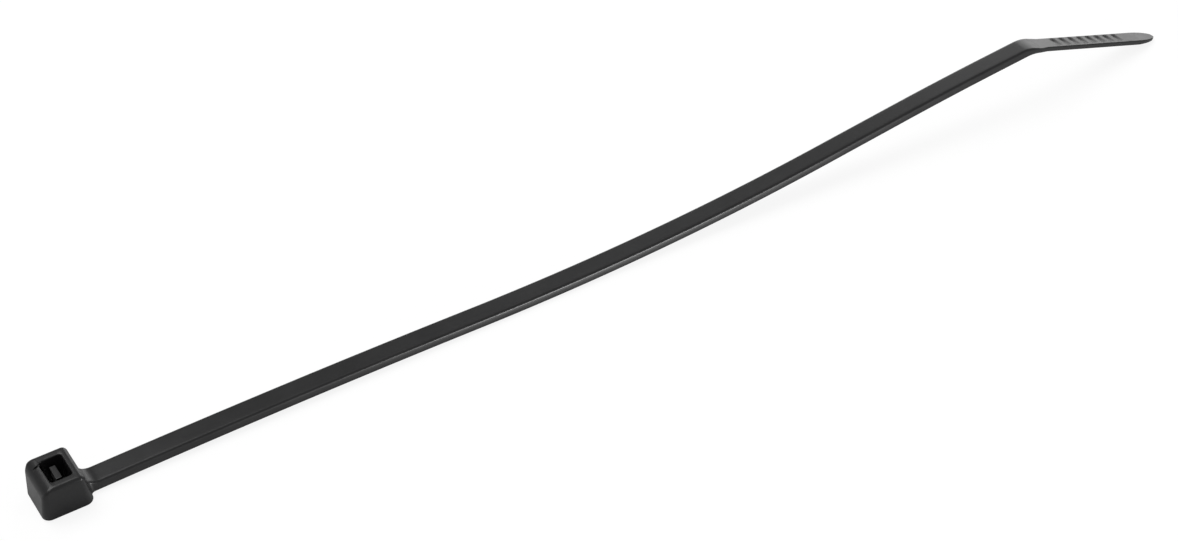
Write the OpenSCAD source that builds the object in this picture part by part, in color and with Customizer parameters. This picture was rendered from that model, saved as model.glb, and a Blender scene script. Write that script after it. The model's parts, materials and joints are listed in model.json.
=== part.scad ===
// Self-locking cable tie, moulded in one piece: a head with its slot and
// pawl, a strap with a rack of teeth underneath, and a bent tail with grips.
// It lies as it comes to rest, on the underside of its head and the tip of
// its tail. Millimetres; +X runs along the strap from the head to the tail,
// +Z is up. The origin is the middle of the slot's mouth, in the plane of the
// underside of the head.

/* [Tie] */
// Length of the tie, laid out straight, from the end of the head to the tip
tie_l = 200; // [150:5:300]
// Width of the strap
strap_w = 3.6; // [3.2:0.1:4.8]
// Thickness of the strap, over its rails
strap_t = 1.2; // [1.1:0.05:1.4]
// Radius on the long upper edges of the strap
strap_edge_r = 0.3; // [0.15:0.05:0.45]
// Radius on the long lower edges of the strap
rail_edge_r = 0.12; // [0.05:0.01:0.2]

/* [Head] */
// Height of the head
head_h = 5.1; // [4.4:0.1:6]
// Wall between the slot and the outer end of the head
end_wall = 2.0; // [1.6:0.1:2.6]
// Wall between the slot and the strap, at the foot of the head
root_wall = 1.75; // [1.5:0.05:2.2]
// Wall on each side of the slot
side_wall = 1.2; // [0.8:0.05:1.5]
// Radius of the upright corners at the outer end
end_corner_r = 0.8; // [0.4:0.1:1.1]
// Radius of the upright corners at the strap end
root_corner_r = 1.2; // [0.6:0.1:1.4]
// Radius of the long roll from the top down to the outer end
brow_r = 1.4; // [0.8:0.1:1.8]
// Radius on the other edges of the head
head_edge_r = 0.35; // [0.2:0.05:0.5]
// Lean of the outer end, from its foot up, in degrees
end_lean = 5; // [0:1:8]
// Lean of the strap end of the head, from its foot up, in degrees
root_lean = 9; // [0:1:10]
// Height of the underside of the strap above the underside of the head
strap_seat = 0.3; // [0.2:0.05:0.6]
// Radius of the hollow that blends the top of the strap into the head
root_r = 0.9; // [0.6:0.1:1.2]
// Radius of the hollows that blend its sides into the head
neck_r = 0.4; // [0.2:0.05:0.5]

/* [Slot and pawl] */
// Clearance on each side of the strap in the slot
slot_clear = 0.38; // [0.25:0.01:0.6]
// Radius of the corners of the slot
slot_corner_r = 0.25; // [0.1:0.05:0.4]
// Flare of the slot's mouth, where the tail enters
mouth_flare = 0.35; // [0.2:0.05:0.6]
// Thickness of the pawl at its tip
pawl_t = 0.8; // [0.6:0.05:1]
// Gap behind the pawl, for it to bend back into
flex_gap = 1.2; // [1:0.05:1.6]
// How far the pawl stands into the way of the teeth
pawl_bite = 0.2; // [0.1:0.05:0.35]
// Depth of the tip of the pawl below the top of the head
pawl_sink = 0.65; // [0.4:0.05:1]
// Height of the foot of the pawl above the slot's mouth
pawl_foot = 0.7; // [0.5:0.05:1]
// Thickness of the hinge that joins the pawl to the head
hinge_t = 0.75; // [0.6:0.05:0.9]
// Radius of the hollow between the pawl and its hinge
hinge_r = 0.35; // [0.1:0.05:0.4]
// Number of teeth on the pawl
pawl_teeth = 3; // [2:1:3]
// Width of the vent groove from the slot's corner to the brow
vent_w = 0.4; // [0.3:0.05:0.6]
// Depth of the vent groove
vent_d = 0.35; // [0.2:0.05:0.5]
// Length of the vent groove
vent_l = 1.2; // [0.8:0.1:1.5]
// Angle between the vent groove and the length of the head, in degrees
vent_turn = 19; // [0:1:30]

/* [Teeth] */
// Distance from one tooth to the next
tooth_pitch = 1.15; // [1:0.05:1.6]
// Depth of the teeth
tooth_d = 0.42; // [0.3:0.02:0.5]
// Depth of the tips of the teeth below the faces of the rails
tooth_sink = 0.08; // [0.05:0.01:0.15]
// Width of each rail beside the teeth
rail_w = 0.5; // [0.4:0.05:0.7]
// Plain strap between the head and the first tooth
plain_l = 9; // [6:1:15]
// Plain strap between the last tooth and the bend
run_out = 3; // [1:0.5:6]
// Run along the strap of the steep face of a tooth
tooth_heel = 0.12; // [0.05:0.01:0.2]

/* [Lie of the strap] */
// Slope at which the strap leaves the head, in degrees
root_slope = 1.3; // [0:0.1:2]
// Turn down along the level part, which is what the other lengths leave
level_turn = 2.5; // [1:0.1:3]
// Length over which the strap curves up
rise_l = 62.5; // [50:0.5:70]
// Turn up over the rise, in degrees
rise_turn = 8.8; // [6:0.1:11]
// Straight length after the rise
climb_l = 14.5; // [8:0.5:20]
// Length over which the strap rounds over
crown_l = 19.5; // [12:0.5:26]
// Turn down over the crown, in degrees
crown_turn = 1.9; // [1:0.1:3]
// Straight length between the crown and the bend
lead_l = 6; // [2:0.5:10]

/* [Tail] */
// Length of the bend between the strap and the tail
bend_l = 3; // [2:0.5:5]
// Length of the tail beyond the bend
tail_l = 30; // [26:1:32]
// Width of the tail beyond its shoulders
tail_w = 3.2; // [2.8:0.1:3.6]
// Thickness of the tail
tail_t = 0.8; // [0.7:0.05:1.1]
// Length over which the tail comes down to its width and thickness
shoulder_l = 2; // [1:0.5:4]
// Length of the point
point_l = 4.9; // [3:0.1:6]
// Height by which the underside rises at the tip
tip_lift = 0.3; // [0:0.05:0.4]
// Radius on the edges of the tail
tail_edge_r = 0.22; // [0.1:0.01:0.3]
// Number of grip grooves
grips = 8; // [6:1:9]
// Distance from one grip groove to the next
grip_pitch = 2.2; // [1.9:0.1:2.4]
// Width of a grip groove
grip_w = 1.1; // [0.8:0.1:1.3]
// Depth of a grip groove
grip_d = 0.22; // [0.15:0.01:0.25]
// Rim left on each side of the grip grooves
grip_rim = 0.35; // [0.2:0.05:0.6]
// Distance from the bend to the middle of the first grip groove
grip_start = 4.6; // [4:0.1:6]

/* [Hidden] */

nylon = [0.07, 0.07, 0.075];
eps = 0.01;
lap = 0.02;
arc_steps = 8;
sweep_fn = 720;

// The slot holds the strap, the pawl and the gap that the pawl bends into.
passage = strap_t - pawl_bite;
slot_l = passage + pawl_t + flex_gap;
slot_w = strap_w + 2 * slot_clear;
head_w = slot_w + 2 * side_wall;
head_l = end_wall + slot_l + root_wall;
x_end = -slot_l / 2 - end_wall;
x_root = slot_l / 2 + root_wall;

// The teeth lie in a channel between two rails, and the pawl fits in it.
channel_w = strap_w - 2 * rail_w;
channel_d = tooth_sink + tooth_d;
pawl_clear = 0.05;
pawl_w = channel_w - 2 * pawl_clear;
pawl_tip_z = head_h - pawl_sink;
pawl_face_x = -slot_l / 2 + passage;
pawl_relief = 0.1;
pawl_tooth_d = tooth_d - pawl_relief;
pawl_swell = 0.25;
pawl_slant = 0.9;

// Each run of the strap is its length and the slope that it gains, in degrees.
strap_l = tie_l - head_l - bend_l - tail_l;
level_l = strap_l - rise_l - climb_l - crown_l - lead_l;
strap_runs = [
    [level_l, -level_turn],
    [rise_l, rise_turn],
    [climb_l, 0],
    [crown_l, -crown_turn],
    [lead_l, 0]
];
strap_start = [x_root, strap_seat, root_slope];

// A place on the underside is its x, its z and its slope. This one lies a
// length further on, where the slope has gained turn on an even curve.
function ahead(place, l, turn) =
    let (half = turn / 2, chord = abs(half) < eps ? l : l * sin(half) / (half * PI / 180))
    [place[0] + chord * cos(place[2] + half), place[1] + chord * sin(place[2] + half), place[2] + turn];

function after_run(place, run) = ahead(place, run[0], run[1]);

function start_of(i, runs, first) = i == 0 ? first : after_run(start_of(i - 1, runs, first), runs[i - 1]);

// The place at a distance s along the strap from the head.
function along(s, i = 0) =
    i == len(strap_runs) - 1 || s <= strap_runs[i][0]
        ? ahead(start_of(i, strap_runs, strap_start), s, strap_runs[i][1] * s / strap_runs[i][0])
        : along(s - strap_runs[i][0], i + 1);

// A point at a height above the underside, at a place on it.
function above(place, h) = [place[0] - h * sin(place[2]), place[1] + h * cos(place[2])];

strap_end = start_of(len(strap_runs), strap_runs, strap_start);

// The tail drops until its tip lies on the table. Each step of the search
// takes the height at which the last slope left the bend.
function tail_slope(a, steps) =
    steps == 0 ? a : tail_slope(
        -asin((ahead(strap_end, bend_l, a - strap_end[2])[1] + tip_lift * cos(a)) / tail_l), steps - 1);

drop = tail_slope(-15, 8);
bend_turn = drop - strap_end[2];
tail_start = ahead(strap_end, bend_l, bend_turn);

// Points on an arc about a centre, between two angles in degrees.
function arc(c, r, from, to) = [
    for (i = [0:arc_steps])
        let (a = from + (to - from) * i / arc_steps)
        [c[0] + r * cos(a), c[1] + r * sin(a)]
];

// Extrudes a side view, drawn as x and z, across the tie.
module across(w) {
    translate([0, w / 2, 0]) rotate([90, 0, 0]) linear_extrude(w) children();
}

// Extrudes an end view, drawn as y and z, from x = from over a length l.
module lengthwise(from, l) {
    translate([from, 0, 0]) rotate([90, 0, 90]) linear_extrude(l) children();
}

// A rectangle with its foot on the x axis and a radius for each pair of corners.
module rounded_bar(w, h, r_foot, r_top) {
    polygon(concat(
        arc([w / 2 - r_foot, r_foot], r_foot, -90, 0),
        arc([w / 2 - r_top, h - r_top], r_top, 0, 90),
        arc([r_top - w / 2, h - r_top], r_top, 90, 180),
        arc([r_foot - w / 2, r_foot], r_foot, 180, 270)));
}

module strap_section() {
    rounded_bar(strap_w, strap_t, rail_edge_r, strap_edge_r);
}

// Sweeps a section along one run from the origin, and a little way into the
// next run, so that the two are one solid.
module sweep(l, turn) {
    if (abs(turn) < eps)
        lengthwise(0, l + lap) children();
    else if (turn > 0)
        turned(l, turn) children();
    else
        mirror([0, 0, 1]) turned(l, -turn) mirror([0, 1]) children();
}

module turned(l, turn) {
    r = l / (turn * PI / 180);
    translate([0, 0, r]) rotate([90, 90, 0])
        rotate_extrude(angle = turn * (l + lap) / l, $fn = sweep_fn) translate([r, 0]) rotate(90) children();
}

module at_place(place) {
    translate([place[0], 0, place[1]]) rotate([0, -place[2], 0]) children();
}

module strap_body() {
    for (i = [0:len(strap_runs) - 1])
        at_place(start_of(i, strap_runs, strap_start))
            sweep(strap_runs[i][0], strap_runs[i][1]) strap_section();
}

// The space under the teeth, seen from the side. The steep face of each tooth
// looks to the head, so that the strap slides in and doesn't slide back.
module rack_space() {
    teeth = floor((strap_l - plain_l - run_out) / tooth_pitch);
    roots = [for (i = [0:teeth]) plain_l + i * tooth_pitch];
    polygon(concat(
        [above(along(plain_l), -strap_t), above(along(plain_l), channel_d)],
        [for (s = roots, step = [0, 1])
            above(along(s + step * tooth_heel), step == 0 ? channel_d : tooth_sink)],
        [above(along(roots[teeth] + tooth_pitch), channel_d)],
        [for (i = [teeth:-1:0]) above(along(roots[i]), -strap_t)]));
}

module head_plan() {
    polygon(concat(
        arc([x_root - root_corner_r, root_corner_r - head_w / 2], root_corner_r, -90, 0),
        arc([x_root - root_corner_r, head_w / 2 - root_corner_r], root_corner_r, 0, 90),
        arc([x_end + end_corner_r, head_w / 2 - end_corner_r], end_corner_r, 90, 180),
        arc([x_end + end_corner_r, end_corner_r - head_w / 2], end_corner_r, 180, 270)));
}

// The head from the side: two leaning ends and a rolled brow.
module head_side() {
    brow_x = x_end + (head_h - brow_r) * tan(end_lean) + brow_r;
    top_x = x_root - (head_h - head_edge_r) * tan(root_lean) - head_edge_r;
    polygon(concat(
        arc([x_root - head_edge_r, head_edge_r], head_edge_r, -90, root_lean),
        arc([top_x, head_h - head_edge_r], head_edge_r, root_lean, 90),
        arc([brow_x, head_h - brow_r], brow_r, 90, 180 - end_lean),
        arc([x_end + head_edge_r, head_edge_r], head_edge_r, 180 - end_lean, 270)));
}

module head_body() {
    intersection() {
        linear_extrude(head_h) head_plan();
        across(head_w) head_side();
        lengthwise(x_end, head_l) rounded_bar(head_w, head_h, head_edge_r, head_edge_r);
    }
}

// The hollow blend between the head and the strap, above and beside it. Both
// of its outlines touch the leaning end of the head and the strap.
module root_blend() {
    intersection() {
        across(head_w) blend_side();
        translate([x_root, 0, head_edge_r]) rotate([0, -root_lean, 0])
            linear_extrude(head_h, center = true) blend_plan();
    }
}

module blend_side() {
    foot_z = strap_seat + rail_edge_r;
    z = strap_seat + strap_t + root_r - eps;
    reach = head_edge_r + root_r - sin(root_lean) * (z - head_edge_r);
    x = x_root - head_edge_r + reach / cos(root_lean);
    inside = x_root - root_wall / 2;
    polygon(concat(
        [[inside, foot_z], [x, foot_z]],
        arc([x, z], root_r, 270, 180 + root_lean),
        [[inside, z]]));
}

module blend_plan() {
    side = arc([neck_r, strap_w / 2 + neck_r - eps], neck_r, 270, 180);
    end_y = strap_w / 2 - strap_edge_r;
    polygon(concat(
        [[root_r, end_y]],
        side,
        [[-root_wall / 2, strap_w / 2 + neck_r], [-root_wall / 2, -strap_w / 2 - neck_r]],
        [for (k = [arc_steps:-1:0]) [side[k][0], -side[k][1]]],
        [[root_r, -end_y]]));
}

// The slot goes right through. Its mouth is flared to lead the tail in.
module slot() {
    linear_extrude(3 * head_h, center = true) polygon(concat(
        arc([slot_l / 2 - slot_corner_r, slot_corner_r - slot_w / 2], slot_corner_r, -90, 0),
        arc([slot_l / 2 - slot_corner_r, slot_w / 2 - slot_corner_r], slot_corner_r, 0, 90),
        arc([slot_corner_r - slot_l / 2, slot_w / 2 - slot_corner_r], slot_corner_r, 90, 180),
        arc([slot_corner_r - slot_l / 2, slot_corner_r - slot_w / 2], slot_corner_r, 180, 270)));
    intersection() {
        across(head_w) flare(slot_l);
        lengthwise(-head_l, 2 * head_l) flare(slot_w);
    }
}

// A mouth that is wider than the slot at the underside of the head.
module flare(w) {
    foot = w / 2 + 2 * mouth_flare;
    polygon([[-foot, -mouth_flare], [foot, -mouth_flare], [w / 2, mouth_flare], [-w / 2, mouth_flare]]);
}

// The pawl from the side. It stands on a thin hinge on the strap's side of the
// slot and leans to the outer wall, with its teeth in the way of the strap.
module pawl_side() {
    wall = slot_l / 2 + root_wall / 2;
    hinge_z = pawl_foot + hinge_t;
    back = pawl_face_x + pawl_t;
    foot_back = back + pawl_swell;
    polygon(concat(
        [[wall, pawl_foot], [pawl_face_x + pawl_tooth_d + pawl_swell / 2, pawl_foot]],
        [for (i = [pawl_teeth - 1:-1:0], in = [1, 0])
            [pawl_face_x + in * pawl_tooth_d, pawl_tip_z - (i + in * pawl_slant) * tooth_pitch]],
        [[back, pawl_tip_z]],
        arc([foot_back + hinge_r, hinge_z + hinge_r], hinge_r, 180, 270),
        [[wall, hinge_z]]));
}

module vent() {
    translate([-slot_l / 2 + vent_w / 2, slot_w / 2 - vent_w / 2, head_h]) rotate(180 + vent_turn)
        translate([0, -vent_w / 2, -vent_d]) cube([vent_l + vent_w / 2, vent_w, 2 * vent_d]);
}

// The tail from above: shoulders, two long sides and a rounded point, which is
// half an ellipse.
module tail_plan() {
    side = [[0, strap_w / 2], [shoulder_l, tail_w / 2]];
    point = [for (i = [-arc_steps:arc_steps])
        let (a = 90 * i / arc_steps)
        [tail_l - point_l * (1 - cos(a)), tail_w / 2 * sin(a)]];
    polygon(concat(
        [for (p = side) [p[0], -p[1]]],
        point,
        [side[1], side[0]]));
}

// The tail from the side, with its underside rising to the tip.
module tail_side() {
    polygon(concat(
        [[-lap, 0], [tail_l - point_l, 0]],
        arc([tail_l - tail_edge_r, tip_lift + tail_edge_r], tail_edge_r, -90, 0),
        arc([tail_l - tail_edge_r, tail_t - tail_edge_r], tail_edge_r, 0, 90),
        [[-lap, tail_t]]));
}

// The bend thins from above, from the strap to the tail.
module bend() {
    steps = 2 * arc_steps;
    places = [for (i = [0:steps]) ahead([0, 0, 0], bend_l * i / steps, bend_turn * i / steps)];
    intersection() {
        sweep(bend_l, bend_turn) strap_section();
        across(strap_w) polygon(concat(
            [for (p = places) above(p, -lap)],
            [for (i = [steps:-1:0]) above(places[i], strap_t - (strap_t - tail_t) * i / steps)]));
    }
}

// The tail's section has rounded edges beyond its shoulders.
module tail_body() {
    intersection() {
        translate([0, 0, -strap_t]) linear_extrude(3 * strap_t) tail_plan();
        across(strap_w) tail_side();
        union() {
            lengthwise(-strap_t, strap_t + shoulder_l) square([strap_w, 4 * strap_t], center = true);
            lengthwise(shoulder_l - lap, tail_l) rounded_bar(tail_w, tail_t, tail_edge_r, tail_edge_r);
        }
    }
}

// A grip groove is a shallow round trough between two rims.
module grip_groove() {
    r = (grip_w * grip_w / 4 + grip_d * grip_d) / (2 * grip_d);
    translate([0, 0, tail_t - grip_d + r]) rotate([90, 0, 0])
        cylinder(r = r, h = tail_w - 2 * grip_rim, center = true, $fn = 64);
}

module tail() {
    difference() {
        tail_body();
        for (i = [0:grips - 1])
            translate([grip_start + i * grip_pitch, 0, 0]) grip_groove();
    }
}

module cable_tie() {
    color(nylon) union() {
        difference() {
            union() {
                head_body();
                root_blend();
                strap_body();
            }
            slot();
            vent();
            across(channel_w) rack_space();
        }
        across(pawl_w) pawl_side();
        at_place(strap_end) bend();
        at_place(tail_start) tail();
    }
}

cable_tie();
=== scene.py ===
# %% [markdown]
# # A cable tie in a soft studio
#
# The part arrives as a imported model, in metres, with the middle of the
# slot's mouth at the origin and the strap running along +X. This lesson
# models the moulded tie again over that model, with the soft edges that a
# mould leaves, gives it the finish of black nylon, and lights it for a
# picture taken from the same place as the photograph.

import json
import math

import bmesh
import bpy
from mathutils import Matrix, Vector

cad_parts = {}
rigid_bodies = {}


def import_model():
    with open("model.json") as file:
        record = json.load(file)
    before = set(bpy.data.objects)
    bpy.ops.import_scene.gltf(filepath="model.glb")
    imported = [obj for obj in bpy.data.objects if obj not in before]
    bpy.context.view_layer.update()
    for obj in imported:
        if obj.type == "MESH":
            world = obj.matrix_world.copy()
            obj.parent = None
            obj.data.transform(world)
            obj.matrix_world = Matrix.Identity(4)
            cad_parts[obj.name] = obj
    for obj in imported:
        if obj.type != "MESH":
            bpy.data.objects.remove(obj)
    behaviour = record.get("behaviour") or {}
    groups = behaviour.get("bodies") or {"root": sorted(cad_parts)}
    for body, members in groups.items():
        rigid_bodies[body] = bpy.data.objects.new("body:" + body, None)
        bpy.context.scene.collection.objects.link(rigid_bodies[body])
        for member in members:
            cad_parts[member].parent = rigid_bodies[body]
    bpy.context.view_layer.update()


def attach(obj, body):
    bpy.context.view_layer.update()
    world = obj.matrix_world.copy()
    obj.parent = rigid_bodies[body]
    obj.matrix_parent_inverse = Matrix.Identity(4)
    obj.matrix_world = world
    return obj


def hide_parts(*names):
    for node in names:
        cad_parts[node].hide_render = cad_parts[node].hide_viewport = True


for default in list(bpy.data.objects):
    bpy.data.objects.remove(default)
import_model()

# %% [markdown]
# ## The camera
#
# The camera comes first, because everything is judged through it. A real
# photographer stood close to the head with the tail pointing away, so the
# strap shrinks as it runs back. The place, the turn and the lens below were
# found by laying the model's outline over the outline in the photograph.

# %% The camera
MM = 0.001
AIM = Vector((80.45, 0, 0.76)) * MM
DISTANCE = 280.97 * MM
AZIMUTH = math.radians(33.008)
ELEVATION = math.radians(39.467)
ROLL = math.radians(0.342)
LENS_MM = 59.219
SENSOR_MM = 36
NEAREST = 0.01

view = Vector((
    math.sin(AZIMUTH) * math.cos(ELEVATION),
    math.cos(AZIMUTH) * math.cos(ELEVATION),
    -math.sin(ELEVATION)))
right = Vector((math.cos(AZIMUTH), -math.sin(AZIMUTH), 0))
up = right.cross(view)
right_rolled = right * math.cos(ROLL) - up * math.sin(ROLL)
up_rolled = right * math.sin(ROLL) + up * math.cos(ROLL)
lens = bpy.data.cameras.new("camera")
lens.lens = LENS_MM
lens.sensor_width = SENSOR_MM
lens.clip_start = NEAREST
camera = bpy.data.objects.new("camera", lens)
turn = Matrix((right_rolled, up_rolled, -view)).transposed().to_4x4()
camera.matrix_world = Matrix.Translation(AIM - view * DISTANCE) @ turn
bpy.context.scene.collection.objects.link(camera)
bpy.context.scene.camera = camera
print("camera at", [round(v, 4) for v in camera.matrix_world.translation])

# %% [markdown]
# ## One ring after another
#
# A moulded strap is one cross-section carried along a path. It could be a
# curve with a bevel profile, but a curve can't cut teeth into its underside.
# It could be a box cut by a hundred Booleans, which is slow and leaves messy
# faces. Here a ring of points is extruded again and again, and each new ring
# is moved to where the section should be, so that the teeth, the grips and
# the point all come out of the same clean band of four-sided faces. Until
# the pieces are joined, they are drawn in millimetres.

# %% Extruding a ring
MERGE, THIN = 0.002, 0.001


class Loft:
    """A closed ring of points that is extruded from place to place."""

    def __init__(self, mesh, points):
        self.mesh = mesh
        self.ring = [mesh.verts.new(p) for p in points]
        self.first = self.edges()

    def edges(self):
        """The edges of the ring where it stands now."""
        pairs = zip(self.ring, self.ring[1:] + self.ring[:1])
        return [self.mesh.edges.get(pair) or self.mesh.edges.new(pair) for pair in pairs]

    def to(self, points):
        """Extrude the ring and move the new one to these points."""
        made = bmesh.ops.extrude_edge_only(self.mesh, edges=self.edges())["geom"]
        new = {item for item in made if isinstance(item, bmesh.types.BMVert)}
        self.ring = [
            next(edge.other_vert(old) for edge in old.link_edges
                 if edge.other_vert(old) in new)
            for old in self.ring]
        for vert, point in zip(self.ring, points):
            vert.co = point

    def cap(self):
        """Close both ends, merge doubled points and turn the faces outwards."""
        bmesh.ops.contextual_create(self.mesh, geom=self.edges())
        bmesh.ops.contextual_create(self.mesh, geom=self.first)
        bmesh.ops.remove_doubles(self.mesh, verts=self.mesh.verts, dist=MERGE)
        bmesh.ops.dissolve_degenerate(self.mesh, edges=self.mesh.edges, dist=THIN)
        bmesh.ops.recalc_face_normals(self.mesh, faces=self.mesh.faces)


def arc(centre, radius, start, end, steps):
    """Points on an arc about a centre, between two angles in degrees."""
    angles = [math.radians(start + (end - start) * i / steps) for i in range(steps + 1)]
    return [(centre[0] + radius * math.cos(a), centre[1] + radius * math.sin(a))
            for a in angles]


def measure(name, mesh):
    """Print the faces, the open edges and the volume of a mesh."""
    print(name + ":", len(mesh.faces), "faces,",
          sum(not edge.is_manifold for edge in mesh.edges), "open edges,",
          round(mesh.calc_volume(), 1), "cubic millimetres")


# %% [markdown]
# ## The lie of the strap
#
# A new tie lies almost flat, with a low crown near the head and a long rise
# after it, and drops at the bend before its tail. The path is a chain of
# runs. Each is a length and the slope that it gains, and a place on it is
# found by its distance from the start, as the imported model's source does.
# The strap starts inside the head. The slope of the tail is worked out by
# going round a few times, until its tip touches the table.

# %% The lie of the strap
ROOT_WALL = 1.75
ROOT_DEPTH = ROOT_WALL / 3
LEVEL = 57.65 + ROOT_DEPTH
HEAD_X = 3.25
SEAT = 0.3
ROOT_SLOPE = 1.3
STRAP_RUNS = [(LEVEL, -2.5), (62.5, 8.8), (14.5, 0.0), (19.5, -1.9), (6.0, 0.0)]
STRAP_LENGTH = sum(length for length, gained in STRAP_RUNS)
BEND_LENGTH = 3.0
TAIL_LENGTH = 30.0
TIP_LIFT = 0.3
FIRST_DROP, ROUNDS = -15.0, 8
STRAIGHT = 1e-6


def ahead(place, length, gained):
    """The place a length further on, where the slope has gained some degrees."""
    x, z, slope = place
    half = math.radians(gained / 2)
    chord = length if abs(half) < STRAIGHT else length * math.sin(half) / half
    heading = math.radians(slope) + half
    return (x + chord * math.cos(heading), z + chord * math.sin(heading), slope + gained)


def along(start, runs, distance):
    """The place at a distance along a chain of runs."""
    place = start
    for length, gained in runs:
        if distance <= length:
            return ahead(place, distance, gained * distance / length)
        place = ahead(place, length, gained)
        distance -= length
    return ahead(place, distance, 0)


start = ahead((HEAD_X, SEAT, ROOT_SLOPE), -ROOT_DEPTH, 0)
strap_end = along(start, STRAP_RUNS, STRAP_LENGTH)
drop = FIRST_DROP
for attempt in range(ROUNDS):
    leaving = ahead(strap_end, BEND_LENGTH, drop - strap_end[2])
    height = leaving[1] + TIP_LIFT * math.cos(math.radians(drop))
    drop = -math.degrees(math.asin(height / TAIL_LENGTH))
PATH = STRAP_RUNS + [(BEND_LENGTH, drop - strap_end[2]), (TAIL_LENGTH, 0.0)]
BEND_AT = STRAP_LENGTH
TAIL_AT = BEND_AT + BEND_LENGTH
TIP_AT = TAIL_AT + TAIL_LENGTH
print("the tail leaves the bend at", round(drop, 2), "degrees, and its tip is at",
      [round(v, 2) for v in along(start, PATH, TIP_AT)])

# %% [markdown]
# ## The section of the strap
#
# The strap is rounder on its upper edges than below, where two rails run
# beside the rack of teeth. The section has a fixed number of points, two of
# which form the floor of the channel between the rails and two the floor of
# the grips on the tail. Where there is no channel or no grip, those points
# lie on the surface, and the doubles are merged at the end. The sides lean in
# a little towards the top, so that the strap leaves its mould.

# %% The section of the strap
STRAP_W, STRAP_T = 3.75, 1.2
UPPER_R, LOWER_R = 0.44, 0.16
UPPER_STEPS, LOWER_STEPS = 7, 5
SIDE_LEAN = 16
CHANNEL_W = 2.6
GRIP_WALL = 0.35
FAR_RIM, NEAR_RIM = 0.24, 0.45


def section(width, thickness, upper_r, lower_r, lean, channel=0.0, grip=0.0, rise=0.0):
    """Points (y, z) of one section, with the depths of its channel and grip."""
    side, top = width / 2, thickness
    cosine, sine = math.cos(math.radians(lean)), math.sin(math.radians(lean))
    foot_y, foot_z = side - lower_r, lower_r
    reach = foot_y * cosine + foot_z * sine + lower_r - upper_r
    roll_y = (reach - (top - upper_r) * sine) / cosine
    inner = min(CHANNEL_W / 2, foot_y)
    far, near = min(side - FAR_RIM, roll_y), -min(side - NEAR_RIM, roll_y)
    half = arc((foot_y, foot_z), lower_r, -90, lean, LOWER_STEPS)
    half += arc((roll_y, top - upper_r), upper_r, lean, 90, UPPER_STEPS)
    points = [(inner, 0)] + half
    points += [(far, top), (far - GRIP_WALL, top - grip)]
    points += [(near + GRIP_WALL, top - grip), (near, top)]
    points += [(-y, z) for y, z in reversed(half)]
    points += [(-inner, 0), (-inner, channel), (inner, channel)]
    return [(y, z + rise) for y, z in points]


def placed(place, points):
    """The section's points carried to a place on the path."""
    x, z, slope = place
    lean = math.radians(slope)
    return [Vector((x - h * math.sin(lean), y, z + h * math.cos(lean))) for y, h in points]


print("the section has", len(section(STRAP_W, STRAP_T, UPPER_R, LOWER_R, SIDE_LEAN)), "points")

# %% [markdown]
# ## The strap, the bend and the tail
#
# The teeth are a saw line in the channel's floor: a short steep face towards
# the head and a long slope behind it, so that the strap slides in and doesn't
# slide back. Two rings make one tooth. Past the bend the strap thins to the
# tail, whose grips are soft hollows that a thumb can feel, and the tail ends
# in a round point whose underside lifts from the table so that a finger can
# pick it up.

# %% The strap, the bend and the tail
PITCH, HEEL = 1.15, 0.12
ROOT_OF_TOOTH, TIP_OF_TOOTH = 0.5, 0.08
FIRST_TOOTH = ROOT_DEPTH + 9.0
RUN_OUT = 3.0
TEETH = math.floor((STRAP_LENGTH - FIRST_TOOTH - RUN_OUT) / PITCH) + 1
LAST_TOOTH = FIRST_TOOTH + TEETH * PITCH
TAIL_W, TAIL_T, TAIL_R = 3.2, 0.8, 0.22
TAIL_LEAN = 6
SHOULDER = 2.0
POINT, POINT_TURN = 4.9, 88
GRIPS, GRIP_PITCH, GRIP_START = 8, 2.2, 5.25
GRIP_W, GRIP_D = 1.7, 0.24
PLAIN_RINGS, RUN_OUT_RINGS, BEND_RINGS, GRIP_RINGS, POINT_RINGS = 8, 4, 12, 8, 24


def mix(a, b, t):
    return a + (b - a) * t


def strap_ring(distance, channel=0.0):
    """A ring on the strap, at a distance from the start."""
    return placed(along(start, PATH, distance),
                  section(STRAP_W, STRAP_T, UPPER_R, LOWER_R, SIDE_LEAN, channel))


def tail_ring(distance, grip=0.0):
    """A ring on the bend or the tail, at a distance from the start."""
    bent = min((distance - BEND_AT) / BEND_LENGTH, 1)
    on_tail = max(distance - TAIL_AT, 0)
    width = mix(STRAP_W, TAIL_W, min(on_tail / SHOULDER, 1))
    into_point = max(on_tail - (TAIL_LENGTH - POINT), 0) / POINT
    narrow = math.sqrt(max(1 - into_point ** 2, 0))
    left = max(TAIL_R - (TAIL_LENGTH - on_tail), 0)
    rolled = TAIL_R - math.sqrt(max(TAIL_R ** 2 - left ** 2, 0))
    low = TIP_LIFT * into_point + rolled
    high = mix(STRAP_T, TAIL_T, bent) - rolled
    thick = high - low
    upper = min(mix(UPPER_R, TAIL_R, bent), thick / 2)
    lower = min(mix(LOWER_R, TAIL_R, bent), thick / 2)
    lean = mix(SIDE_LEAN, TAIL_LEAN, bent)
    shape = section(width, thick, upper, lower, lean, grip=grip, rise=low)
    return placed(along(start, PATH, distance), [(y * narrow, z) for y, z in shape])


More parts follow.
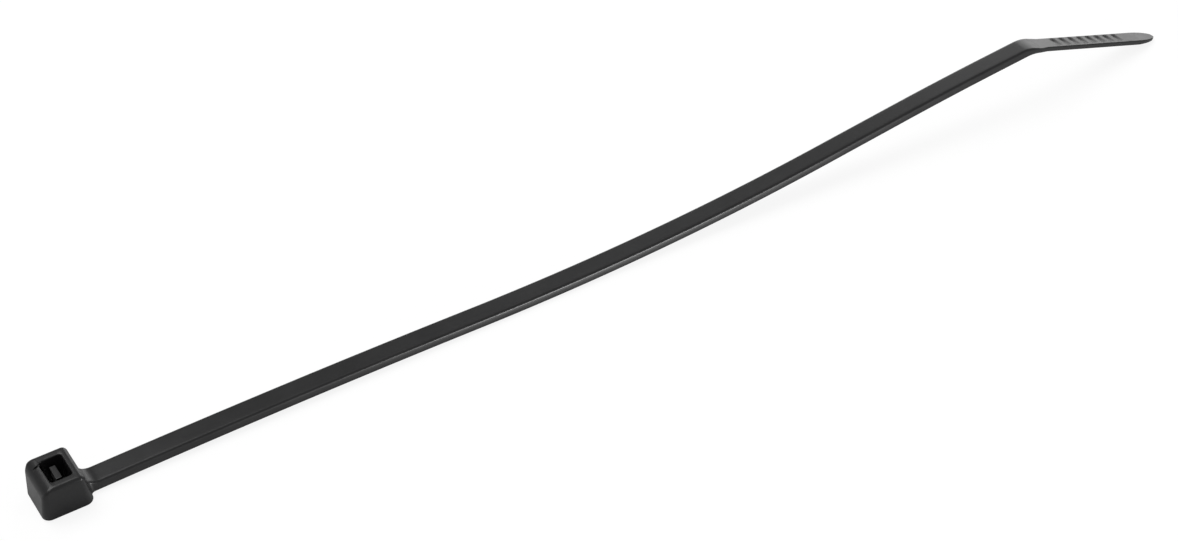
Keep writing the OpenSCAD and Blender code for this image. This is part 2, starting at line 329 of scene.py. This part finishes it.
strap = bmesh.new()
band = Loft(strap, strap_ring(0))
for i in range(1, PLAIN_RINGS + 1):
    band.to(strap_ring(FIRST_TOOTH * i / PLAIN_RINGS))
for tooth in range(TEETH):
    band.to(strap_ring(FIRST_TOOTH + tooth * PITCH, ROOT_OF_TOOTH))
    band.to(strap_ring(FIRST_TOOTH + tooth * PITCH + HEEL, TIP_OF_TOOTH))
band.to(strap_ring(LAST_TOOTH, ROOT_OF_TOOTH))
band.to(strap_ring(LAST_TOOTH))
for i in range(1, RUN_OUT_RINGS):
    band.to(strap_ring(mix(LAST_TOOTH, BEND_AT, i / RUN_OUT_RINGS)))
for i in range(BEND_RINGS + 1):
    band.to(tail_ring(BEND_AT + BEND_LENGTH * i / BEND_RINGS))
band.to(tail_ring(TAIL_AT + SHOULDER))
for grip in range(GRIPS):
    middle = TAIL_AT + GRIP_START + grip * GRIP_PITCH
    for i in range(GRIP_RINGS + 1):
        across = 2 * i / GRIP_RINGS - 1
        depth = GRIP_D * math.cos(across * math.pi / 2) ** 2
        band.to(tail_ring(middle + across * GRIP_W / 2, depth))
for i in range(POINT_RINGS + 1):
    turned = math.radians(POINT_TURN * i / POINT_RINGS)
    band.to(tail_ring(TIP_AT - POINT * (1 - math.sin(turned))))
band.cap()
measure("strap with " + str(TEETH) + " teeth", strap)

# %% [markdown]
# ## The head
#
# The head is a small housing with a slot right through it. A box with bevels
# and a Boolean hole would do, but its rolls have four different radii, and
# bevels of different width fight where they meet. One ring of points can go
# up the outside, over the top, down the inside of the slot and out of its
# flared mouth, until it meets its own start, like a sleeve pulled inside out.

# %% The head
HEAD_H = 5.1
SLOT_L, SLOT_W, SLOT_R = 3.0, 4.36, 0.45
END_WALL, SIDE_WALL = 2.1, 1.3
END_R, CORNER_R = 1.1, 1.2
BROW_R, TOP_R, FOOT_R = 1.5, 0.6, 0.35
END_LEAN, ROOT_LEAN = math.tan(math.radians(7)), math.tan(math.radians(9))
TIGHTEN, LEAST_R = 0.8, 0.4
RIM_R = 0.14
FLARE = 0.35
HALF_W = SLOT_W / 2 + SIDE_WALL
LOW, MIDDLE = 1.2, 2.4
CORNER_STEPS, FOOT_STEPS, BROW_STEPS = 8, 6, 14


def rounded(x0, x1, half_w, r0, r1):
    """A rounded rectangle seen from above, with a radius for each end."""
    points = arc((x1 - r1, r1 - half_w), r1, -90, 0, CORNER_STEPS)
    points += arc((x1 - r1, half_w - r1), r1, 0, 90, CORNER_STEPS)
    points += arc((x0 + r0, half_w - r0), r0, 90, 180, CORNER_STEPS)
    points += arc((x0 + r0, r0 - half_w), r0, 180, 270, CORNER_STEPS)
    return points


def rolled_in(distance, radius):
    """How far a rounded edge has rolled in, at a distance from where it ends."""
    below = max(radius - distance, 0)
    return radius - math.sqrt(max(radius ** 2 - below ** 2, 0))


def outside(z):
    """The ring around the head at a height."""
    down = HEAD_H - z
    foot = rolled_in(z, FOOT_R)
    end = foot + rolled_in(down, BROW_R) + END_LEAN * max(z - FOOT_R, 0)
    root = foot + rolled_in(down, TOP_R) + ROOT_LEAN * max(z - FOOT_R, 0)
    side = foot + rolled_in(down, TOP_R)
    end_r = max(END_R - TIGHTEN * end, LEAST_R)
    root_r = max(CORNER_R - TIGHTEN * root, LEAST_R)
    x0, x1 = -SLOT_L / 2 - END_WALL + end, HEAD_X - root
    return [Vector((x, y, z)) for x, y in rounded(x0, x1, HALF_W - side, end_r, root_r)]


def inside(z, wider):
    """The ring around the slot at a height."""
    half_l, half_w, radius = SLOT_L / 2 + wider, SLOT_W / 2 + wider, SLOT_R + wider
    return [Vector((x, y, z)) for x, y in rounded(-half_l, half_l, half_w, radius, radius)]


quarter = [math.radians(90 * i / FOOT_STEPS) for i in range(FOOT_STEPS + 1)]
brow = [math.radians(90 * i / BROW_STEPS) for i in range(BROW_STEPS + 1)]
levels = [FOOT_R * (1 - math.cos(a)) for a in quarter] + [LOW, MIDDLE]
levels += [HEAD_H - BROW_R * (1 - math.sin(a)) for a in brow]
housing = bmesh.new()
sleeve = Loft(housing, outside(levels[0]))
for z in levels[1:]:
    sleeve.to(outside(z))
for a in quarter[::2]:
    sleeve.to(inside(HEAD_H - RIM_R * (1 - math.cos(a)), RIM_R * (1 - math.sin(a))))
sleeve.to(inside(MIDDLE, 0))
sleeve.to(inside(FLARE, 0))
sleeve.to(inside(0, FLARE))
bmesh.ops.bridge_loops(housing, edges=sleeve.edges() + sleeve.first)
bmesh.ops.recalc_face_normals(housing, faces=housing.faces)
measure("head", housing)

# %% [markdown]
# ## The root of the strap
#
# The strap grows out of the head through a small hollow blend, which keeps it
# from breaking there. It is a short sleeve around the strap that widens in a
# quarter circle towards the head. Its last ring leans as the head's face
# does, so that the blend runs out into the face without a step.

# %% The root of the strap
ROOT_R, NECK_R = 1.5, 0.55
COLLAR_RINGS = 8
COLLAR_SINK = 0.04
COLLAR_DEPTH = ROOT_DEPTH - 0.2


def collar_ring(gap):
    """A ring around the strap, wider and higher as the gap to the head closes."""
    width = STRAP_W + 2 * rolled_in(gap, NECK_R)
    thickness = STRAP_T + rolled_in(gap, ROOT_R)
    points = placed(along(start, PATH, ROOT_DEPTH - COLLAR_SINK + gap),
                    section(width, thickness, UPPER_R, LOWER_R, SIDE_LEAN))
    for point in points:
        point.x -= ROOT_LEAN * (point.z - FOOT_R) * (1 - gap / ROOT_R)
    return points


blend = bmesh.new()
collar = Loft(blend, [point - Vector((COLLAR_DEPTH, 0, 0)) for point in collar_ring(0)])
for i in range(COLLAR_RINGS + 1):
    collar.to(collar_ring(ROOT_R * (1 - math.cos(math.radians(90 * i / COLLAR_RINGS)))))
collar.cap()
measure("blend", blend)

# %% [markdown]
# ## The pawl
#
# Inside the slot a pawl leans towards the outer wall on a thin hinge. Its
# three teeth catch in the rack. Its side view is drawn as one face, which is
# extruded across the slot and softened with a bevel.

# %% The pawl
PAWL_W = 2.5
PAWL_GATE = 1.0
PAWL_FACE = PAWL_GATE - SLOT_L / 2
PAWL_TIP = HEAD_H - 0.65
PAWL_T, PAWL_FOOT = 0.8, 0.7
PAWL_TEETH, PAWL_TOOTH, SLANT = 3, 0.32, 0.9
PAWL_SOFT = 0.07
HINGE_T, HINGE_R = 0.75, 0.35
HINGE_END = HEAD_X - 0.9
HINGE_STEPS = 6
SWELL = 0.25
CRISP = math.radians(40)

hinge_top = PAWL_FOOT + HINGE_T
back = PAWL_FACE + PAWL_T
outline = [(HINGE_END, PAWL_FOOT), (PAWL_FACE + PAWL_TOOTH + SWELL / 2, PAWL_FOOT)]
for tooth in reversed(range(PAWL_TEETH)):
    outline.append((PAWL_FACE + PAWL_TOOTH, PAWL_TIP - (tooth + SLANT) * PITCH))
    outline.append((PAWL_FACE, PAWL_TIP - tooth * PITCH))
outline.append((back, PAWL_TIP))
outline += arc((back + SWELL + HINGE_R, hinge_top + HINGE_R), HINGE_R, 180, 270, HINGE_STEPS)
outline.append((HINGE_END, hinge_top))

pawl = bmesh.new()
face = pawl.faces.new([pawl.verts.new((x, -PAWL_W / 2, z)) for x, z in outline])
made = bmesh.ops.extrude_face_region(pawl, geom=[face])["geom"]
far_verts = [item for item in made if isinstance(item, bmesh.types.BMVert)]
bmesh.ops.translate(pawl, vec=(0, PAWL_W, 0), verts=far_verts)
bmesh.ops.recalc_face_normals(pawl, faces=pawl.faces)
crisp_edges = [edge for edge in pawl.edges if edge.calc_face_angle(0) > CRISP]
bmesh.ops.bevel(pawl, geom=crisp_edges, offset=PAWL_SOFT, offset_type="OFFSET", segments=2,
                profile=0.5, affect="EDGES", clamp_overlap=True, material=-1)
measure("pawl", pawl)

# %% [markdown]
# ## The vent groove
#
# A shallow groove runs from the slot's far corner over the brow. It is too
# small for its own rings, so a block cuts it out with a Boolean.

# %% The vent groove
VENT_W, VENT_D, VENT_L = 0.4, 0.35, 1.2
VENT_R = 0.12
VENT_TURN = math.radians(19)
VENT_AT = Vector((VENT_W / 2 - SLOT_L / 2, SLOT_W / 2 - SLOT_R, HEAD_H))

groove = bmesh.new()
length = VENT_L + VENT_W / 2
bmesh.ops.create_cube(groove, size=1)
bmesh.ops.scale(groove, vec=(length, VENT_W, 2 * VENT_D), verts=groove.verts)
bmesh.ops.translate(groove, vec=(length / 2, 0, 0), verts=groove.verts)
floor_edges = [edge for edge in groove.edges if all(vert.co.z < 0 for vert in edge.verts)]
bmesh.ops.bevel(groove, geom=floor_edges, offset=VENT_R, offset_type="OFFSET", segments=3,
                profile=0.5, affect="EDGES", clamp_overlap=True, material=-1)
bmesh.ops.rotate(groove, cent=(0, 0, 0), verts=groove.verts,
                 matrix=Matrix.Rotation(math.pi + VENT_TURN, 3, "Z"))
bmesh.ops.translate(groove, vec=VENT_AT, verts=groove.verts)
measure("block for the groove", groove)

# %% [markdown]
# ## One moulding
#
# The strap, the blend, the head and the pawl come out of one mould, so they
# are joined by a Boolean union, and the vent groove is cut away. Every piece
# is closed, which is what the Manifold solver asks for, and what it gives
# back is closed too. The Exact solver came back empty at the groove.


# %% One moulding
def as_object(name, mesh):
    """An object in the scene that holds a mesh, at the origin."""
    data = bpy.data.meshes.new(name)
    mesh.to_mesh(data)
    mesh.free()
    made = bpy.data.objects.new(name, data)
    bpy.context.scene.collection.objects.link(made)
    return made


tie = as_object("tie", housing)
helpers = [
    (as_object("strap_part", strap), "UNION"),
    (as_object("blend_part", blend), "UNION"),
    (as_object("pawl_part", pawl), "UNION"),
    (as_object("vent_part", groove), "DIFFERENCE"),
]
for helper, operation in helpers:
    joint = tie.modifiers.new(helper.name, "BOOLEAN")
    joint.object = helper
    joint.operation = operation
    joint.solver = "MANIFOLD"
solved = tie.evaluated_get(bpy.context.evaluated_depsgraph_get())
moulding = bpy.data.meshes.new_from_object(solved)
tie.modifiers.clear()
tie.data = moulding
for helper, operation in helpers:
    bpy.data.objects.remove(helper)

whole = bmesh.new()
whole.from_mesh(moulding)
bmesh.ops.remove_doubles(whole, verts=whole.verts, dist=MERGE)
bmesh.ops.dissolve_degenerate(whole, edges=whole.edges, dist=THIN)
measure("moulding", whole)
bmesh.ops.scale(whole, vec=(MM, MM, MM), verts=whole.verts)
whole.to_mesh(moulding)
whole.free()

# %% [markdown]
# ## Smooth shading
#
# Rounded forms are shaded smooth, and only real edges, such as those of the
# teeth, stay crisp. A Weighted Normal modifier lets the large flat faces keep
# their own direction, so that the small rolls carry the whole turn.

# %% Smooth shading
SHARP = math.radians(38)
moulding.shade_smooth()
moulding.set_sharp_from_angle(angle=SHARP)
weighted = tie.modifiers.new("weighted", "WEIGHTED_NORMAL")
weighted.keep_sharp = True
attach(tie, "root")
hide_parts("cable_tie")
print("sharp edges:", sum(edge.use_edge_sharp for edge in moulding.edges))

# %% [markdown]
# ## Shader maths as plain expressions
#
# A procedural finish is a long chain of small sums. They could be wired by
# hand in the node editor, which nobody can read back later. A small class
# wraps a socket instead, so that `0.2 + mask` or `a * b` adds the Math node it
# needs, whichever side the number is on, and one method makes any other node.


# %% A socket that can be reckoned with
class Value:
    """A shader socket whose sums add Math nodes to its tree."""

    def __init__(self, tree, socket):
        self.tree = tree
        self.socket = socket

    @staticmethod
    def node(tree, kind, settings, inputs):
        """Add a node: first its settings, then the values or links of its sockets."""
        made = tree.nodes.new(kind)
        for name, value in settings.items():
            setattr(made, name, value)
        for name, value in inputs.items():
            if isinstance(value, Value):
                value = value.socket
            if isinstance(value, bpy.types.NodeSocket):
                tree.links.new(value, made.inputs[name])
            else:
                made.inputs[name].default_value = value
        return made

    def reckon(self, operation, a, b):
        made = Value.node(self.tree, "ShaderNodeMath", {"operation": operation}, {0: a, 1: b})
        return Value(self.tree, made.outputs[0])

    def __add__(self, other):
        return self.reckon("ADD", self, other)

    def __radd__(self, other):
        return self.reckon("ADD", other, self)

    def __mul__(self, other):
        return self.reckon("MULTIPLY", self, other)

    def __rmul__(self, other):
        return self.reckon("MULTIPLY", other, self)


# %% [markdown]
# ## Black nylon
#
# The tie is moulded in black nylon. Its surface is satin: it takes a fine
# grain from the mould, and on the flat faces the melt leaves faint clouds
# where it cooled unevenly. The black is never quite black, because the
# pigment lets a little light back. The clouds change the colour and the
# roughness a little, and the grain is a shallow bump, far finer than a tooth.

# %% Black nylon
NYLON = (0.0105, 0.0105, 0.011, 1)
NYLON_WORN = (0.017, 0.017, 0.0175, 1)
GLOSS, SATIN = 0.36, 0.24
CLOUDS_PER_M, GRAIN_PER_M = 260, 5200
CLOUD_TINT, GRAIN_TINT = 0.7, 0.3
CLOUD_DULLS, GRAIN_DULLS = 0.12, 0.06
CLOUD_HEIGHT = 0.5
BUMP_SHARE, BUMP_DEPTH = 0.12, 0.00004


def noise(tree, per_m, detail, roughness):
    """A noise that is laid out in the object's own metres."""
    where = Value.node(tree, "ShaderNodeTexCoord", {}, {}).outputs["Object"]
    made = Value.node(tree, "ShaderNodeTexNoise", {}, {
        "Vector": where, "Scale": per_m, "Detail": detail, "Roughness": roughness})
    return Value(tree, made.outputs[0])


nylon = bpy.data.materials.new("black_nylon")
nylon.use_nodes = True
tree = nylon.node_tree
shader = tree.nodes["Principled BSDF"]
shader.inputs["Specular IOR Level"].default_value = GLOSS
clouds = noise(tree, CLOUDS_PER_M, 3.0, 0.55)
grain = noise(tree, GRAIN_PER_M, 2.0, 0.6)
tint = Value.node(tree, "ShaderNodeMix", {"data_type": "RGBA"}, {
    "Factor": clouds * CLOUD_TINT + grain * GRAIN_TINT, "A": NYLON, "B": NYLON_WORN})
roughness = SATIN + clouds * CLOUD_DULLS + grain * GRAIN_DULLS
bump = Value.node(tree, "ShaderNodeBump", {}, {
    "Height": grain + clouds * CLOUD_HEIGHT, "Strength": BUMP_SHARE, "Distance": BUMP_DEPTH})
tree.links.new(tint.outputs["Result"], shader.inputs["Base Color"])
tree.links.new(roughness.socket, shader.inputs["Roughness"])
tree.links.new(bump.outputs["Normal"], shader.inputs["Normal"])
moulding.materials.clear()
moulding.materials.append(nylon)
print("nylon:", len(tree.nodes), "nodes")

# %% [markdown]
# ## The floor and the white
#
# The photograph is cut out on pure white. A floor lit up to white would throw
# its light back into the black plastic, so the floor is pale grey card for
# the light, and for the eye of the camera most of it is replaced by an even
# white. What is left of the card keeps a pale shadow under the tie.

# %% The floor
FLOOR = 3.0
CARD = (0.72, 0.72, 0.72, 1)
CARD_ROUGHNESS, CARD_GLOSS = 0.9, 0.1
WHITE = (1, 1, 1, 1)
GLOW = 1.14
SHADOW_SHARE = 0.24

grid = bmesh.new()
bmesh.ops.create_grid(grid, x_segments=1, y_segments=1, size=FLOOR)
floor = as_object("floor", grid)
card = bpy.data.materials.new("card")
card.use_nodes = True
tree = card.node_tree
diffuse = tree.nodes["Principled BSDF"]
diffuse.inputs["Base Color"].default_value = CARD
diffuse.inputs["Roughness"].default_value = CARD_ROUGHNESS
diffuse.inputs["Specular IOR Level"].default_value = CARD_GLOSS
glow = Value.node(tree, "ShaderNodeEmission", {}, {"Color": WHITE, "Strength": GLOW})
seen = Value(tree, Value.node(tree, "ShaderNodeLightPath", {}, {}).outputs["Is Camera Ray"])
paint = Value.node(tree, "ShaderNodeMixShader", {}, {
    0: seen * (1 - SHADOW_SHARE), 1: diffuse.outputs[0], 2: glow.outputs[0]})
tree.links.new(paint.outputs[0], tree.nodes["Material Output"].inputs["Surface"])
floor.data.materials.append(card)
print("share of the card that the camera sees:", SHADOW_SHARE)

# %% [markdown]
# ## The studio
#
# The world is an even dim grey for the black plastic and white for the
# camera. Four soft boxes do the rest. One stands low behind the tail and
# lights the tail and the bend. One hangs high over the head and lays a soft
# sheen on the strap, and a faint one behind the tail carries that sheen to
# the far end. A small one, close to the strap and low in front of it, draws
# the bright line along its near side.

# %% The studio
DIM, BRIGHT = 0.35, 1.0
world = bpy.data.worlds.new("studio")
bpy.context.scene.world = world
world.use_nodes = True
tree = world.node_tree
dim = tree.nodes["Background"]
dim.inputs["Color"].default_value = WHITE
dim.inputs["Strength"].default_value = DIM
bright = Value.node(tree, "ShaderNodeBackground", {}, {"Color": WHITE, "Strength": BRIGHT})
seen = Value.node(tree, "ShaderNodeLightPath", {}, {}).outputs["Is Camera Ray"]
sky = Value.node(tree, "ShaderNodeMixShader", {}, {
    0: seen, 1: dim.outputs[0], 2: bright.outputs[0]})
tree.links.new(sky.outputs[0], tree.nodes["World Output"].inputs["Surface"])


def softbox(name, at, aim, width, height, watts):
    """A rectangle of light that looks at a point. Places are in metres."""
    light = bpy.data.lights.new(name, "AREA")
    light.shape = "RECTANGLE"
    light.size = width
    light.size_y = height
    light.energy = watts
    lamp = bpy.data.objects.new(name, light)
    lamp.location = at
    lamp.rotation_euler = (Vector(aim) - Vector(at)).to_track_quat("-Z", "Y").to_euler()
    bpy.context.scene.collection.objects.link(lamp)
    print(name, watts, "W,", round(watts / (width * height)), "W to the square metre")


softbox("back_box", (0.62, 0.42, 0.11), (0.15, 0, 0), 0.6, 0.28, 1.05)
softbox("top_box", (-0.1, 0.3, 0.7), (0.1, 0, 0), 0.5, 0.5, 2.95)
softbox("high_box", (0.6, 0.45, 0.45), (0.12, 0, 0), 0.35, 0.3, 0.35)
softbox("front_box", (0.176, -0.227, 0.02), (0.07, 0, 0), 0.06, 0.03, 0.38)
bpy.context.scene.view_settings.view_transform = "Standard"
